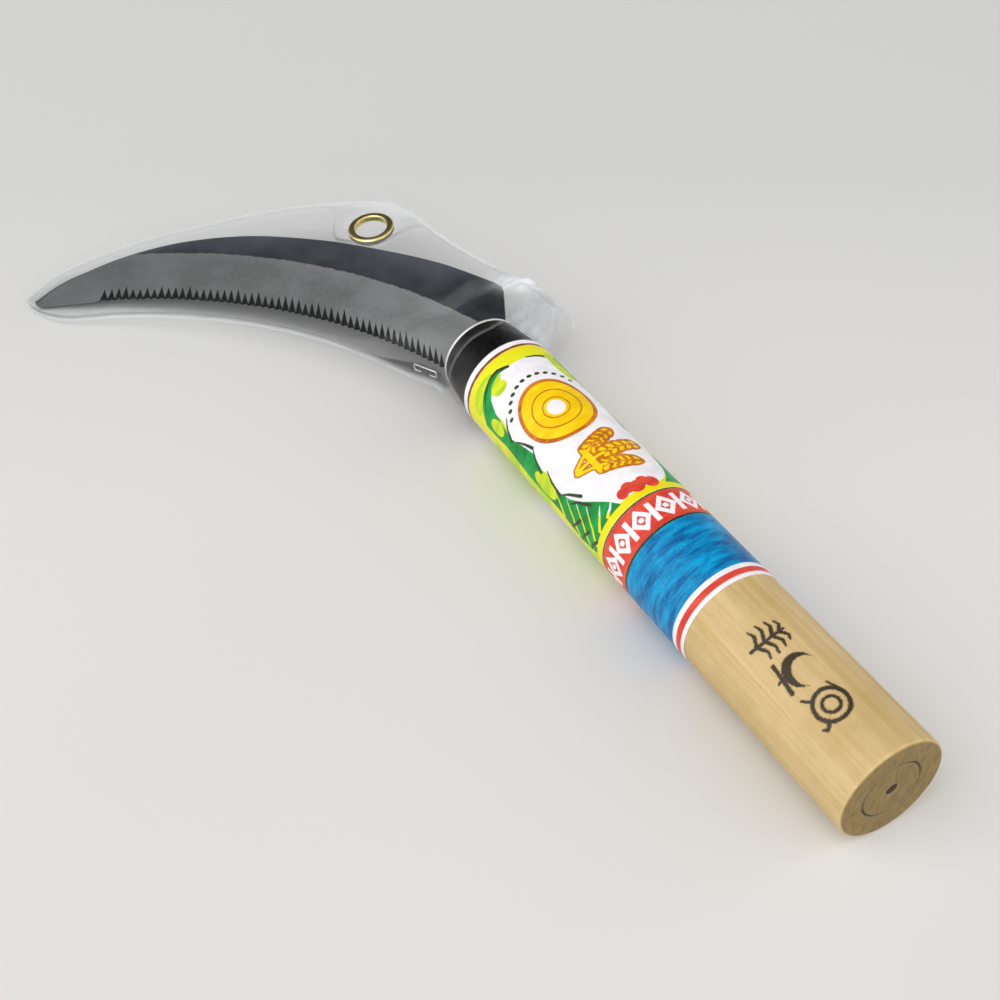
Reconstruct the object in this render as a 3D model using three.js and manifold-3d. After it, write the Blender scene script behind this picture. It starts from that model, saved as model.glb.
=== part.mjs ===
// Hand sickle: a saw-toothed crescent blade, its tang pinned in a turned wooden handle,
// with a paper label round the handle and a clear film cover welded round the blade.
// The sickle lies on its side. Lengths are millimetres, +Z is up, and the handle's axis
// runs along X from the butt towards the blade. Blade and cover are drawn in the blade's
// own plane, which holds the handle's axis and droops so that the point meets the ground.

import * as THREE from "three";
import { mergeVertices } from "three/addons/utils/BufferGeometryUtils.js";
import Module from "manifold-3d";

// Handle
const HANDLE_RADIUS = 14.05;
const HANDLE_FRONT_RADIUS = 13.45;
const BUTT_CHAMFER = 0.6;
const CENTRE_HOLE_RADIUS = 1.5;
const CENTRE_HOLE_DEPTH = 9.5;
const RING_GROOVE_RADIUS = 7.85;
const RING_GROOVE_HALF_WIDTH = 0.4;
const RING_GROOVE_DEPTH = 0.5;
const HANDLE_SEGMENTS = 48;

// Paper label
const LABEL_BACK_X = 56.6;
const LABEL_FRONT_X = 158.2;
const LABEL_GAP = 0.05;
const LABEL_THICKNESS = 0.15;

// Ferrule
const FERRULE_BACK_X = 158.5;
const FERRULE_FRONT_X = 172.5;
const FERRULE_FRONT_RADIUS = 11.5;
const FERRULE_THICKNESS = 0.8;
const FERRULE_GAP = 0.1;
const FERRULE_LIP = 0.9;
const LIP_PROUD = 0.25;
const LIP_ROUND = 0.2;
const NECK_SETBACK = 0.5;

// Blade
const BLADE_DROOP = THREE.MathUtils.degToRad(7.75);
const BLADE_THICKNESS = 1.4;
const EDGE_THICKNESS = 0.35;
const EDGE_CENTRE = new THREE.Vector2(128.4, 166.7);
const EDGE_RADIUS = 162.1;
const EDGE_HEEL_ANGLE = THREE.MathUtils.degToRad(-73.8);
const EDGE_LAST_TOOTH_ANGLE = THREE.MathUtils.degToRad(-33);
const EDGE_TIP_ANGLE = THREE.MathUtils.degToRad(-27);
const TOOTH_COUNT = 52;
const TOOTH_DEPTH = 0.9;
const TOOTH_LEAN = 0.35;
const PLAIN_EDGE_STEPS = 6;
const BEVEL_CENTRE = new THREE.Vector2(137.7, 155.1);
const BEVEL_RADIUS = 167.3;
const BEVEL_WIDTH = 19.4;
const BEVEL_CUTTER_HEIGHT = 2;
const BEVEL_SEGMENTS = 120;
const SPINE_POINTS = [
  [275.6, 93.9],
  [278, 86],
  [278.4, 78],
  [277.4, 64],
  [272.2, 47],
  [261.5, 29.4],
  [245.8, 13.2],
  [230.2, 1],
  [213.2, -10.1],
  [196, -18],
];
const HEEL_POINTS = [
  [192.6, -19],
  [190.6, -18.3],
  [180.7, -12.9],
  [175, -10.2],
];
const SPINE_STEPS = 48;

// Tang and its pin
const TANG_SHOULDER_X = 163;
const TANG_END_X = 120;
const TANG_MOUTH_HALF_WIDTH = 10;
const TANG_HALF_WIDTH = 5;
const TANG_END_STEPS = 8;
const SLOT_OVERRUN = 2;
const PIN_X = 146;
const PIN_RADIUS = 1.5;
const PIN_HALF_LENGTH = 13;
const PIN_SEGMENTS = 24;

// Film cover: it slips off along the blade's curve, turning about this centre
const SLIP_CENTRE = new THREE.Vector2(145.2, 136.7);
const FILM_THICKNESS = 0.3;
const FILM_HALF_GAP = 0.15;
const FILM_FLAT_HEIGHT = 1.05;
const FILM_MOUTH_HEIGHT = 13.1;
const FILM_MOUTH_X = 166;
const FILM_BULGE_START_X = 170;
const FILM_BULGE_END_X = 208;
const FILM_FLAT_RISE = 3;
const FILM_MOUTH_RISE = 13;
const FILM_WELD = 1.4;
const FILM_STAPLE_WELD = 6;
const FILM_STAPLE_REACH = 9;
const FILM_EYELET_WELD = 19.9;
const FILM_EYELET_REACH = 12.5;
const FILM_EYELET_RISE = 1.6;
const FILM_EDGE_MARGIN = 7.8;
const FILM_ROWS = 48;
const FILM_RISE_STEPS = [0, 0.04, 0.15, 0.35, 0.65, 1];
const FILM_MIDDLE_STEPS = 5;
const FILM_WIDEST_BORDER = 0.9;
const FILM_CUTTER_HALF_HEIGHT = 5;
const FILM_OUTER_POINTS = [
  [FILM_MOUTH_X, -27.2],
  [173, -27.4],
  [181, -26.9],
  [192, -25.2],
  [206, -21.4],
  [222, -17.8],
  [236, -16.2],
  [246, -13.6],
  [253, -8],
  [260, 2],
  [268, 16],
  [274, 31],
  [279, 46],
  [282.5, 60],
  [284, 74],
  [283.4, 86],
  [279, 96],
];
const FILM_INNER_MOUTH_POINTS = [
  [FILM_MOUTH_X, 16.2],
  [171, 17.3],
];
const FILM_INNER_TIP_POINTS = [
  [269.5, 95.4],
  [276, 97.2],
];
const FILM_INNER_START_ANGLE = THREE.MathUtils.degToRad(-71.5);
const FILM_INNER_END_ANGLE = THREE.MathUtils.degToRad(-30);
const FILM_INNER_STEPS = 8;
const FILM_EYELET_BORDER = [249, -11.8];

// Eyelet
const EYELET_CENTRE = new THREE.Vector2(241.1, -2);
const EYELET_BORE = 4.6;
const EYELET_BARREL = 4.9;
const EYELET_FLANGE = 6.9;
const EYELET_HALF_HEIGHT = 1.2;
const EYELET_FLANGE_THICKNESS = 0.42;
const EYELET_ROUND = 0.25;
const EYELET_SEGMENTS = 32;
const CLEARANCE = 0.3;

// Staple
const STAPLE_CENTRE = new THREE.Vector2(176.4, 15.6);
const STAPLE_TURN = THREE.MathUtils.degToRad(25);
const STAPLE_LENGTH = 8;
const STAPLE_WIRE = 0.5;
const STAPLE_FOOT = 2.6;
const STAPLE_INNER_HALF_HEIGHT = 0.8;

const wasm = await Module();
wasm.setup();

const finishes = {
  wood: { color: 0xd2b878, roughness: 0.6, metalness: 0 },
  paper: { color: 0xe8d860, roughness: 0.45, metalness: 0 },
  black_iron: { color: 0x1a1a1d, roughness: 0.5, metalness: 0.6 },
  steel: { color: 0x5a5d62, roughness: 0.4, metalness: 0.8 },
  pin_steel: { color: 0x8c8c8e, roughness: 0.4, metalness: 0.9 },
  film: { color: 0xe4e9ef, roughness: 0.15, metalness: 0, transparent: true, opacity: 0.35 },
  brass: { color: 0xb49a50, roughness: 0.3, metalness: 0.9 },
  staple_wire: { color: 0xc8cacc, roughness: 0.3, metalness: 0.9 },
};

function mesh(name, geometry, finish) {
  const result = new THREE.Mesh(geometry, new THREE.MeshStandardMaterial(finishes[finish]));
  result.name = name;
  return result;
}

// A closed geometry as a manifold-3d solid.
function toSolid(geometry) {
  const bare = geometry.clone();
  bare.deleteAttribute("normal");
  bare.deleteAttribute("uv");
  const merged = mergeVertices(bare, 1e-4);
  const index = merged.index.array;
  const triangles = [];
  for (let i = 0; i < index.length; i += 3) {
    const [a, b, c] = [index[i], index[i + 1], index[i + 2]];
    if (a !== b && b !== c && c !== a) {
      triangles.push(a, b, c);
    }
  }
  return new wasm.Manifold(new wasm.Mesh({
    numProp: 3,
    vertProperties: new Float32Array(merged.attributes.position.array),
    triVerts: new Uint32Array(triangles),
  }));
}

function toGeometry(solid) {
  const { vertProperties, triVerts } = solid.getMesh();
  const geometry = new THREE.BufferGeometry();
  geometry.setAttribute("position", new THREE.BufferAttribute(vertProperties, 3));
  geometry.setIndex(new THREE.BufferAttribute(triVerts, 1));
  geometry.computeVertexNormals();
  return geometry;
}

function cut(geometry, ...cutters) {
  let solid = toSolid(geometry);
  for (const cutter of cutters) {
    solid = solid.subtract(toSolid(cutter));
  }
  return toGeometry(solid);
}

// A profile of [radius, x] pairs turned about the X axis.
function turned(profile, segments) {
  const points = profile.map(([radius, x]) => new THREE.Vector2(radius, x));
  return new THREE.LatheGeometry(points, segments).rotateZ(-Math.PI / 2);
}

// An outline in the blade's plane, extruded by the same height on both sides of it.
function plate(shape, halfHeight) {
  const settings = { depth: 2 * halfHeight, bevelEnabled: false };
  return new THREE.ExtrudeGeometry(shape, settings).translate(0, 0, -halfHeight);
}

function upright(radius, halfHeight, segments, x, y) {
  const cylinder = new THREE.CylinderGeometry(radius, radius, 2 * halfHeight, segments);
  return cylinder.rotateX(Math.PI / 2).translate(x, y, 0);
}

function pointOnArc(centre, radius, angle) {
  return new THREE.Vector2(Math.cos(angle), Math.sin(angle)).multiplyScalar(radius).add(centre);
}

function splineThrough(points) {
  return new THREE.SplineCurve(points.map(([x, y]) => new THREE.Vector2(x, y)));
}

// The tang's outline, from its wide root at rootX to its rounded end; grow widens it all round.
function tangPoints(grow, rootX) {
  const half = TANG_HALF_WIDTH + grow;
  const taper = (TANG_MOUTH_HALF_WIDTH - TANG_HALF_WIDTH) / (FERRULE_FRONT_X - TANG_SHOULDER_X);
  const root = TANG_HALF_WIDTH + taper * (rootX - TANG_SHOULDER_X) + grow * Math.hypot(1, taper);
  const endCentre = new THREE.Vector2(TANG_END_X + TANG_HALF_WIDTH, 0);
  const points = [new THREE.Vector2(rootX, -root), new THREE.Vector2(TANG_SHOULDER_X - grow, -half)];
  for (let i = 0; i <= TANG_END_STEPS; i += 1) {
    points.push(pointOnArc(endCentre, half, -Math.PI / 2 - (Math.PI * i) / TANG_END_STEPS));
  }
  points.push(new THREE.Vector2(TANG_SHOULDER_X - grow, half), new THREE.Vector2(rootX, root));
  return points;
}

function bladeOutline() {
  const spine = splineThrough(SPINE_POINTS).getSpacedPoints(SPINE_STEPS);
  const heel = HEEL_POINTS.map(([x, y]) => new THREE.Vector2(x, y));
  const teeth = [];
  const step = (EDGE_LAST_TOOTH_ANGLE - EDGE_HEEL_ANGLE) / TOOTH_COUNT;
  for (let i = 0; i < TOOTH_COUNT; i += 1) {
    const angle = EDGE_HEEL_ANGLE + i * step;
    teeth.push(pointOnArc(EDGE_CENTRE, EDGE_RADIUS, angle));
    teeth.push(pointOnArc(EDGE_CENTRE, EDGE_RADIUS + TOOTH_DEPTH, angle + TOOTH_LEAN * step));
  }
  const plain = [];
  for (let i = 0; i <= PLAIN_EDGE_STEPS; i += 1) {
    const angle = THREE.MathUtils.lerp(EDGE_LAST_TOOTH_ANGLE, EDGE_TIP_ANGLE, i / PLAIN_EDGE_STEPS);
    plain.push(pointOnArc(EDGE_CENTRE, EDGE_RADIUS, angle));
  }
  return new THREE.Shape([...spine, ...heel, ...tangPoints(0, FERRULE_FRONT_X), ...teeth, ...plain]);
}

function bladeGeometry() {
  const top = BLADE_THICKNESS / 2;
  const bevelSlope = (BLADE_THICKNESS - EDGE_THICKNESS) / BEVEL_WIDTH;
  const inner = BEVEL_RADIUS - 2 * BEVEL_WIDTH;
  const bevelProfile = [
    [inner, top - 2 * BEVEL_WIDTH * bevelSlope],
    [BEVEL_RADIUS, top],
    [BEVEL_RADIUS, top + BEVEL_CUTTER_HEIGHT],
    [inner, top + BEVEL_CUTTER_HEIGHT],
    [inner, top - 2 * BEVEL_WIDTH * bevelSlope],
  ];
  const bevelPoints = bevelProfile.map(([radius, z]) => new THREE.Vector2(radius, z));
  const bevel = new THREE.LatheGeometry(bevelPoints, BEVEL_SEGMENTS)
    .rotateX(Math.PI / 2)
    .translate(BEVEL_CENTRE.x, BEVEL_CENTRE.y, 0);
  const tangGuard = plate(new THREE.Shape(tangPoints(CLEARANCE, FERRULE_FRONT_X)), BLADE_THICKNESS);
  const bevelCutter = cut(bevel, tangGuard);
  const pinHole = upright(PIN_RADIUS + CLEARANCE, BLADE_THICKNESS, PIN_SEGMENTS, PIN_X, 0);
  return cut(plate(bladeOutline(), top), bevelCutter, pinHole);
}

function handleRadiusAt(x) {
  return THREE.MathUtils.mapLinear(x, 0, LABEL_FRONT_X, HANDLE_RADIUS, HANDLE_FRONT_RADIUS);
}

const neckInset = FERRULE_THICKNESS + FERRULE_GAP;
const neckFrontX = FERRULE_FRONT_X - NECK_SETBACK;

function handleGeometry() {
  const profile = [
    [0, CENTRE_HOLE_DEPTH + CENTRE_HOLE_RADIUS],
    [CENTRE_HOLE_RADIUS, CENTRE_HOLE_DEPTH],
    [CENTRE_HOLE_RADIUS, 0],
    [RING_GROOVE_RADIUS - RING_GROOVE_HALF_WIDTH, 0],
    [RING_GROOVE_RADIUS, RING_GROOVE_DEPTH],
    [RING_GROOVE_RADIUS + RING_GROOVE_HALF_WIDTH, 0],
    [HANDLE_RADIUS - BUTT_CHAMFER, 0],
    [HANDLE_RADIUS, BUTT_CHAMFER],
    [handleRadiusAt(LABEL_BACK_X), LABEL_BACK_X],
    [HANDLE_FRONT_RADIUS, FERRULE_BACK_X - FERRULE_GAP],
    [HANDLE_FRONT_RADIUS - neckInset, FERRULE_BACK_X - FERRULE_GAP],
    [FERRULE_FRONT_RADIUS - neckInset, neckFrontX],
    [0, neckFrontX],
  ];
  const slotOutline = new THREE.Shape(tangPoints(CLEARANCE, FERRULE_FRONT_X + SLOT_OVERRUN));
  const slot = plate(slotOutline, BLADE_THICKNESS / 2 + CLEARANCE).rotateX(-BLADE_DROOP);
  const pinHole = upright(PIN_RADIUS + CLEARANCE, 2 * HANDLE_RADIUS, PIN_SEGMENTS, PIN_X, 0);
  pinHole.rotateX(-BLADE_DROOP);
  return cut(turned(profile, HANDLE_SEGMENTS), slot, pinHole);
}

function labelGeometry() {
  const back = handleRadiusAt(LABEL_BACK_X) + LABEL_GAP;
  const front = HANDLE_FRONT_RADIUS + LABEL_GAP;
  const profile = [
    [back, LABEL_BACK_X],
    [back + LABEL_THICKNESS, LABEL_BACK_X],
    [front + LABEL_THICKNESS, LABEL_FRONT_X],
    [front, LABEL_FRONT_X],
    [back, LABEL_BACK_X],
  ];
  return turned(profile, HANDLE_SEGMENTS);
}

// A conical sheet-metal band with a small rounded lip at its front.
function ferruleGeometry() {
  const inner = FERRULE_FRONT_RADIUS - FERRULE_THICKNESS;
  const slope = (HANDLE_FRONT_RADIUS - FERRULE_FRONT_RADIUS) / (FERRULE_FRONT_X - FERRULE_BACK_X);
  const lipBack = FERRULE_FRONT_X - FERRULE_LIP;
  const profile = [
    [HANDLE_FRONT_RADIUS - FERRULE_THICKNESS, FERRULE_BACK_X],
    [HANDLE_FRONT_RADIUS, FERRULE_BACK_X],
    [FERRULE_FRONT_RADIUS + FERRULE_LIP * slope, lipBack],
    [FERRULE_FRONT_RADIUS + LIP_PROUD, lipBack + LIP_ROUND],
    [FERRULE_FRONT_RADIUS + LIP_PROUD, FERRULE_FRONT_X - LIP_ROUND],
    [FERRULE_FRONT_RADIUS + LIP_PROUD - LIP_ROUND, FERRULE_FRONT_X],
    [inner + LIP_ROUND, FERRULE_FRONT_X],
    [inner, FERRULE_FRONT_X - LIP_ROUND],
    [HANDLE_FRONT_RADIUS - FERRULE_THICKNESS, FERRULE_BACK_X],
  ];
  return turned(profile, HANDLE_SEGMENTS);
}

// A grid of points thickened into a closed sheet: pointAt(u, v) gives its inner face, and
// sharesAt(u) the places of the grid's columns across it.
function sheetGeometry(pointAt, sharesAt, rows, thickness, side) {
  const inner = [];
  const outer = [];
  const reach = 1e-3;
  const columns = sharesAt(0).length - 1;
  for (let i = 0; i <= rows; i += 1) {
    const u = i / rows;
    for (const v of sharesAt(u)) {
      const alongU = pointAt(Math.min(u + reach, 1), v).sub(pointAt(Math.max(u - reach, 0), v));
      const alongV = pointAt(u, Math.min(v + reach, 1)).sub(pointAt(u, Math.max(v - reach, 0)));
      const normal = alongU.cross(alongV).normalize();
      normal.multiplyScalar(Math.sign(normal.z) * side * thickness);
      inner.push(pointAt(u, v));
      outer.push(pointAt(u, v).add(normal));
    }
  }
  const across = columns + 1;
  const count = inner.length;
  const index = [];
  const quad = (a, b, c, d) => (side > 0 ? index.push(a, b, c, a, c, d) : index.push(a, c, b, a, d, c));
  for (let i = 0; i < rows; i += 1) {
    for (let j = 0; j < columns; j += 1) {
      const a = i * across + j;
      quad(count + a, count + a + across, count + a + across + 1, count + a + 1);
      quad(a, a + 1, a + across + 1, a + across);
    }
  }
  for (let i = 0; i < rows; i += 1) {
    const a = i * across;
    const b = a + columns;
    quad(a, a + across, count + a + across, count + a);
    quad(b, count + b, count + b + across, b + across);
  }
  for (let j = 0; j < columns; j += 1) {
    const b = rows * across + j;
    quad(j, count + j, count + j + 1, j + 1);
    quad(b, b + 1, count + b + 1, count + b);
  }
  const geometry = new THREE.BufferGeometry();
  const positions = [...inner, ...outer].flatMap((point) => point.toArray());
  geometry.setAttribute("position", new THREE.Float32BufferAttribute(positions, 3));
  geometry.setIndex(index);
  return geometry;
}

const filmOuter = splineThrough(FILM_OUTER_POINTS);

function filmInnerBorder() {
  const points = [...FILM_INNER_MOUTH_POINTS];
  const radius = EDGE_RADIUS - FILM_EDGE_MARGIN;
  for (let i = 0; i <= FILM_INNER_STEPS; i += 1) {
    const share = i / FILM_INNER_STEPS;
    const angle = THREE.MathUtils.lerp(FILM_INNER_START_ANGLE, FILM_INNER_END_ANGLE, share);
    points.push(pointOnArc(EDGE_CENTRE, radius, angle).toArray());
  }
  return splineThrough([...points, ...FILM_INNER_TIP_POINTS]);
}

const filmInner = filmInnerBorder();

// The place on the outer border where the welded corner round the eyelet is widest.
const filmEyeletBorder = new THREE.Vector2(...FILM_EYELET_BORDER);

// How far the film has risen, from 0 to 1, at a distance in from its border.
function filmRise(distance, weld, rise) {
  const run = THREE.MathUtils.clamp((distance - weld) / rise, 0, 1);
  return Math.sqrt(1 - (1 - run) ** 2);
}

function filmFlatness(x) {
  return THREE.MathUtils.smoothstep(x, FILM_BULGE_START_X, FILM_BULGE_END_X);
}

// A line across the film, with the widths over which it is welded and rises at either end.
function filmSection(u, x) {
  const outer = filmOuter.getPointAt(u);
  const inner = filmInner.getPointAt(u);
  const nearEyelet = Math.exp(-((outer.distanceTo(filmEyeletBorder) / FILM_EYELET_REACH) ** 4));
  const nearStaple = Math.exp(-(((inner.x - STAPLE_CENTRE.x) / FILM_STAPLE_REACH) ** 2));
  const riseAt = (place) => THREE.MathUtils.lerp(FILM_MOUTH_RISE, FILM_FLAT_RISE, filmFlatness(x ?? place.x));
  return {
    outer,
    inner,
    width: outer.distanceTo(inner),
    outerWeld: THREE.MathUtils.lerp(FILM_WELD, FILM_EYELET_WELD, nearEyelet),
    innerWeld: THREE.MathUtils.lerp(FILM_WELD, FILM_STAPLE_WELD, nearStaple),
    outerRise: THREE.MathUtils.lerp(riseAt(outer), FILM_EYELET_RISE, nearEyelet),
    innerRise: riseAt(inner),
  };
}

// Columns lie closest together where the film rises from its welds.
function filmShares(u) {
  const { width, outerWeld, innerWeld, outerRise, innerRise } = filmSection(u);
  const fit = Math.min(1, (FILM_WIDEST_BORDER * width) / (outerWeld + outerRise + innerWeld + innerRise));
  const fromOuter = [0, ...FILM_RISE_STEPS.map((step) => fit * (outerWeld + step * outerRise))];
  const fromInner = [0, ...FILM_RISE_STEPS.map((step) => fit * (innerWeld + step * innerRise))];
  const distances = [...fromOuter];
  for (let i = 1; i <= FILM_MIDDLE_STEPS; i += 1) {
    const share = i / (FILM_MIDDLE_STEPS + 1);
    distances.push(THREE.MathUtils.lerp(fromOuter.at(-1), width - fromInner.at(-1), share));
  }
  distances.push(...fromInner.map((distance) => width - distance).reverse());
  return distances.map((distance) => distance / width);
}

// The film's inner face: flat over the blade, welded shut round the eyelet, and bulging at the
// mouth to pass round the ferrule.
function filmPoint(u, v, side) {
  const ends = filmSection(u);
  const place = ends.outer.lerp(ends.inner, v);
  const { width, outerWeld, innerWeld, outerRise, innerRise } = filmSection(u, place.x);
  const height = THREE.MathUtils.lerp(FILM_MOUTH_HEIGHT, FILM_FLAT_HEIGHT, filmFlatness(place.x));
  const risen = filmRise(v * width, outerWeld, outerRise) * filmRise((1 - v) * width, innerWeld, innerRise);
  const z = FILM_HALF_GAP + (height - FILM_HALF_GAP) * risen;
  return new THREE.Vector3(place.x, place.y, side * z);
}

function stapleLegs() {
  const legs = [];
  for (const end of [-1, 1]) {
    const size = STAPLE_WIRE + 2 * CLEARANCE;
    const leg = new THREE.BoxGeometry(size, size, 2 * FILM_CUTTER_HALF_HEIGHT);
    leg.translate((end * (STAPLE_LENGTH - STAPLE_WIRE)) / 2, 0, 0).rotateZ(STAPLE_TURN);
    legs.push(leg.translate(STAPLE_CENTRE.x, STAPLE_CENTRE.y, 0));
  }
  return legs;
}

function filmGeometry(side) {
  const pointAt = (u, v) => filmPoint(u, v, side);
  const sheet = sheetGeometry(pointAt, filmShares, FILM_ROWS, FILM_THICKNESS, side);
  const holeRadius = EYELET_BARREL + CLEARANCE;
  const hole = upright(holeRadius, FILM_CUTTER_HALF_HEIGHT, EYELET_SEGMENTS, EYELET_CENTRE.x, EYELET_CENTRE.y);
  return cut(sheet, hole, ...stapleLegs());
}

// A hollow rivet whose two flanges hold the films between them.
function eyeletGeometry() {
  const flangeInner = EYELET_HALF_HEIGHT - EYELET_FLANGE_THICKNESS;
  const profile = [
    [EYELET_BORE, EYELET_ROUND - EYELET_HALF_HEIGHT],
    [EYELET_BORE + EYELET_ROUND, -EYELET_HALF_HEIGHT],
    [EYELET_FLANGE - EYELET_ROUND, -EYELET_HALF_HEIGHT],
    [EYELET_FLANGE, -flangeInner],
    [EYELET_BARREL, -flangeInner],
    [EYELET_BARREL, flangeInner],
    [EYELET_FLANGE, flangeInner],
    [EYELET_FLANGE - EYELET_ROUND, EYELET_HALF_HEIGHT],
    [EYELET_BORE + EYELET_ROUND, EYELET_HALF_HEIGHT],
    [EYELET_BORE, EYELET_HALF_HEIGHT - EYELET_ROUND],
    [EYELET_BORE, EYELET_ROUND - EYELET_HALF_HEIGHT],
  ];
  const points = profile.map(([radius, z]) => new THREE.Vector2(radius, z));
  return new THREE.LatheGeometry(points, EYELET_SEGMENTS)
    .rotateX(Math.PI / 2)
    .translate(EYELET_CENTRE.x, EYELET_CENTRE.y, 0);
}

// A wire staple: its crown lies on the top film and its feet are folded in under the bottom one.
function stapleGeometry() {
  const half = STAPLE_LENGTH / 2;
  const inner = STAPLE_INNER_HALF_HEIGHT;
  const outer = inner + STAPLE_WIRE;
  const outline = [
    [-half, -outer],
    [-half + STAPLE_FOOT, -outer],
    [-half + STAPLE_FOOT, -inner],
    [-half + STAPLE_WIRE, -inner],
    [-half + STAPLE_WIRE, inner],
    [half - STAPLE_WIRE, inner],
    [half - STAPLE_WIRE, -inner],
    [half - STAPLE_FOOT, -inner],
    [half - STAPLE_FOOT, -outer],
    [half, -outer],
    [half, outer],
    [-half, outer],
  ];
  const shape = new THREE.Shape(outline.map(([x, y]) => new THREE.Vector2(x, y)));
  return plate(shape, STAPLE_WIRE / 2)
    .rotateX(Math.PI / 2)
    .rotateZ(STAPLE_TURN)
    .translate(STAPLE_CENTRE.x, STAPLE_CENTRE.y, 0);
}

const cover = new THREE.Group();
cover.position.set(SLIP_CENTRE.x, SLIP_CENTRE.y, 0);
cover.add(
  mesh("cover_top_film", filmGeometry(1), "film"),
  mesh("cover_bottom_film", filmGeometry(-1), "film"),
  mesh("eyelet", eyeletGeometry(), "brass"),
  mesh("staple", stapleGeometry(), "staple_wire"),
);
for (const piece of cover.children) {
  piece.position.set(-SLIP_CENTRE.x, -SLIP_CENTRE.y, 0);
}

const bladePlane = new THREE.Group();
bladePlane.rotation.x = -BLADE_DROOP;
bladePlane.add(
  mesh("blade", bladeGeometry(), "steel"),
  mesh("tang_pin", upright(PIN_RADIUS, PIN_HALF_LENGTH, PIN_SEGMENTS, PIN_X, 0), "pin_steel"),
  cover,
);

const sickle = new THREE.Group();
sickle.add(
  mesh("handle", handleGeometry(), "wood"),
  mesh("label", labelGeometry(), "paper"),
  mesh("ferrule", ferruleGeometry(), "black_iron"),
  bladePlane,
);

// The origin is on the ground, under the middle of the sickle's bounding box.
sickle.updateMatrixWorld(true);
const box = new THREE.Box3().setFromObject(sickle, true);
const middle = box.getCenter(new THREE.Vector3());
sickle.position.set(-middle.x, -middle.y, -box.min.z);

export default sickle;
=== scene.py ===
import math

import bmesh
import bpy
import numpy as np
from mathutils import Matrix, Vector


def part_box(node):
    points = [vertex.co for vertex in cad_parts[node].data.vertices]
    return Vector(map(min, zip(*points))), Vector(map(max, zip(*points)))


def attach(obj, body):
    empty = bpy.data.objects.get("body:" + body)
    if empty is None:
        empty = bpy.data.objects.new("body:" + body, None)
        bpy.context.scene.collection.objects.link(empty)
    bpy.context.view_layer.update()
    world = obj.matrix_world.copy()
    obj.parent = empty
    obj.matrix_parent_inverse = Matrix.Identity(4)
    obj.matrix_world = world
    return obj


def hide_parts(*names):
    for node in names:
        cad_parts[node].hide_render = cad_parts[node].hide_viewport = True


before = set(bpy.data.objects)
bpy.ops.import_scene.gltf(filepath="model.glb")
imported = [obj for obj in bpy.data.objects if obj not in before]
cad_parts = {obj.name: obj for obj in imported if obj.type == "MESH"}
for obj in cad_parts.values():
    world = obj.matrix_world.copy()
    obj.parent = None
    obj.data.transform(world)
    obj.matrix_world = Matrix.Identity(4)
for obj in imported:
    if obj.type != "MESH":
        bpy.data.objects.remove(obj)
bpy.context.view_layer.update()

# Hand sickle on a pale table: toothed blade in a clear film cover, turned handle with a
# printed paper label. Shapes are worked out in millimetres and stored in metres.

MM = 0.001
random = np.random.default_rng(7)

# ---------------------------------------------------------------- places from the frame

handle_low, handle_high = (Vector(corner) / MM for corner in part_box("handle"))
AXIS = np.array([handle_low.x, (handle_low.y + handle_high.y) / 2, (handle_low.z + handle_high.z) / 2])
BLADE_DROOP = math.radians(7.75)


def from_blade_plane(points):
    """Points drawn in the blade's plane, as places in the frame."""
    points = np.asarray(points, float)
    x, y, z = points[..., 0], points[..., 1], points[..., 2]
    cos, sin = math.cos(BLADE_DROOP), math.sin(BLADE_DROOP)
    return AXIS + np.stack([x, y * cos + z * sin, z * cos - y * sin], -1)


def round_handle(x, radius, angle):
    """Places at a distance x along the handle, turned by angle from straight up."""
    x, radius, angle = np.broadcast_arrays(x, radius, angle)
    return AXIS + np.stack([x, radius * np.sin(angle), radius * np.cos(angle)], -1)


def add_object(name, data):
    result = bpy.data.objects.new(name, data)
    bpy.context.collection.objects.link(result)
    return result


# ---------------------------------------------------------------- camera

CAMERA_PLACE = Vector(AXIS) + Vector((-143.36, 183.65, 293.01))
CAMERA_HEADING = math.radians(121.0)
CAMERA_PITCH = math.radians(43.67)

camera_data = bpy.data.cameras.new("camera")
camera_data.sensor_width = 36
camera_data.lens = 60.77
camera_data.clip_start = 0.01
camera = add_object("camera", camera_data)
camera.location = CAMERA_PLACE * MM
look = Vector((
    math.sin(CAMERA_HEADING) * math.cos(CAMERA_PITCH),
    math.cos(CAMERA_HEADING) * math.cos(CAMERA_PITCH),
    -math.sin(CAMERA_PITCH),
))
camera.rotation_mode = "QUATERNION"
camera.rotation_quaternion = look.to_track_quat("-Z", "Y")
bpy.context.scene.camera = camera
bpy.context.scene.view_settings.view_transform = "Standard"

# ---------------------------------------------------------------- meshes


def grid_faces(rows, columns, wrap_rows=False, wrap_columns=False):
    """Quads over a grid of rows x columns points, joined round where it wraps."""
    i = np.arange(rows if wrap_rows else rows - 1)
    j = np.arange(columns if wrap_columns else columns - 1)
    i, j = np.meshgrid(i, j, indexing="ij")
    a = i * columns + j
    b = i * columns + (j + 1) % columns
    c = ((i + 1) % rows) * columns + (j + 1) % columns
    d = ((i + 1) % rows) * columns + j
    return np.stack([a, b, c, d], -1).reshape(-1, 4).tolist()


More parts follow.
